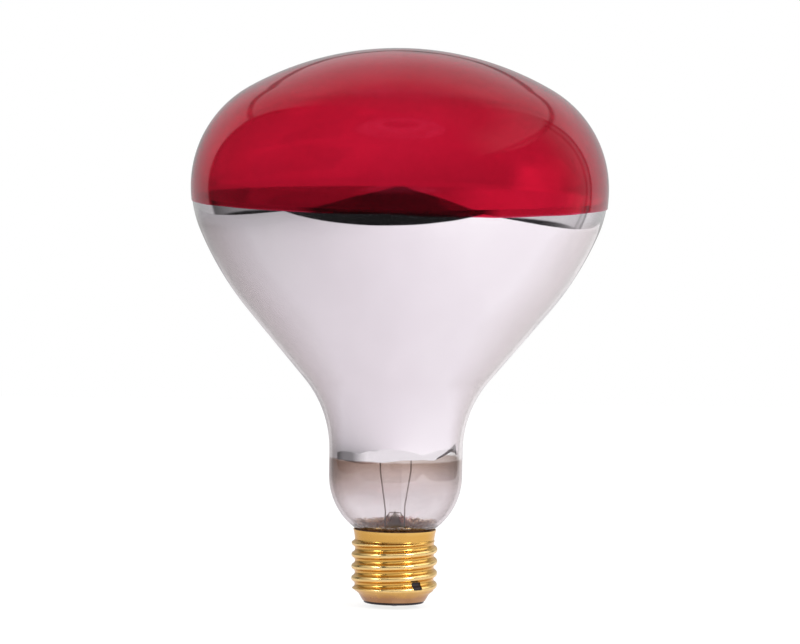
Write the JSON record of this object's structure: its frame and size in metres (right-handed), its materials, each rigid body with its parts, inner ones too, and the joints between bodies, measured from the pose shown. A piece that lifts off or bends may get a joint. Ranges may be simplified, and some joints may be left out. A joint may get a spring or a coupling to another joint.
{
  "type": "infrared heat lamp bulb",
  "caption": "Reflector heat lamp: blown bulb with a red lacquered face, inner mirror and clear neck, wire filament mount and a rolled brass screw cap.",
  "frame": {"origin": "on the lamp's axis at the tip of the centre contact's solder", "axes": "+Z along the axis from the cap to the red face, -Y towards the viewer of the picture"},
  "size_m": [0.1274, 0.1274, 0.1708],
  "materials": {
    "clear_glass": "clear blown glass",
    "red_lacquer": "glossy translucent ruby lacquer",
    "mirror": "vacuum-coated aluminium mirror",
    "stem_glass": "clear pressed glass",
    "nickel_wire": "drawn nickel wire",
    "copper_wire": "drawn copper wire",
    "molybdenum_wire": "drawn grey wire",
    "tungsten": "dark coiled wire",
    "brass": "rolled brass, bright with worn crests",
    "black_glass": "moulded black glass",
    "contact_brass": "stamped brass",
    "solder": "dull tin solder",
    "cement": "baked brown capping cement"
  },
  "bodies": {
    "root": {"glass_envelope": "clear_glass", "red_lacquer": "red_lacquer", "mirror_coat": "mirror", "stem": "stem_glass", "exhaust_tube": "stem_glass", "arbor": "stem_glass", "inner_lead_left": "nickel_wire", "inner_lead_right": "nickel_wire", "outer_lead_centre": "copper_wire", "outer_lead_side": "copper_wire", "support_left": "molybdenum_wire", "support_back": "molybdenum_wire", "support_right": "molybdenum_wire", "filament": "tungsten", "screw_shell": "brass", "insulator": "black_glass", "centre_contact": "contact_brass", "centre_solder": "solder", "side_solder": "solder", "capping_cement": "cement"}
  },
  "joints": []
}
